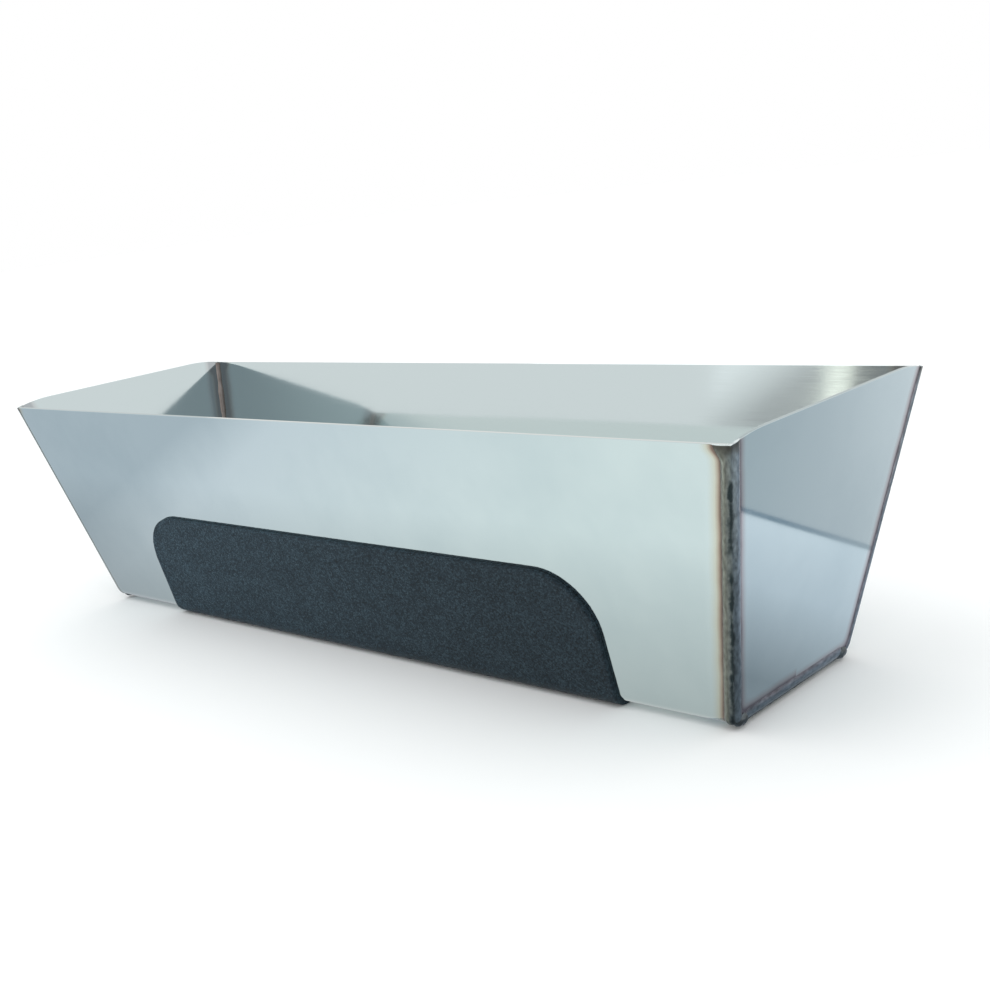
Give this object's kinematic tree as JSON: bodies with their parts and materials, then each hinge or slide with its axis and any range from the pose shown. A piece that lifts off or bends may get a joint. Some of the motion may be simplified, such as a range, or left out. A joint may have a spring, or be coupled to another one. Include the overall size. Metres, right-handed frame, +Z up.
{
  "type": "mud pan",
  "caption": "Long flared sheet-steel tray with upright welded end plates and a dark grip pad wrapped under its base, for holding joint compound in one hand.",
  "frame": {"origin": "under the middle of the pan, level with the grip pad's flat underside on which it stands", "axes": "+X along the pan, +Y across it, +Z up out of the open mouth"},
  "size_m": [0.3068, 0.0918, 0.078],
  "materials": {
    "stainless_sheet": "cold-rolled 2B stainless sheet, satin with soft reflections",
    "weld_bead": "grey oxidised weld metal, lightly rippled",
    "grip_rubber": "matt dark slate, fine gritty grain",
    "grip_adhesive": "translucent pressure-sensitive adhesive film"
  },
  "bodies": {
    "root": {"trough_sheet": "stainless_sheet", "end_plate_left": "stainless_sheet", "end_plate_right": "stainless_sheet", "weld_front_left": "weld_bead", "weld_front_right": "weld_bead", "weld_rear_left": "weld_bead", "weld_rear_right": "weld_bead", "weld_base_left": "weld_bead", "weld_base_right": "weld_bead", "weld_corner_knobs": "weld_bead", "grip_pad": "grip_rubber", "grip_adhesive": "grip_adhesive"}
  },
  "joints": []
}
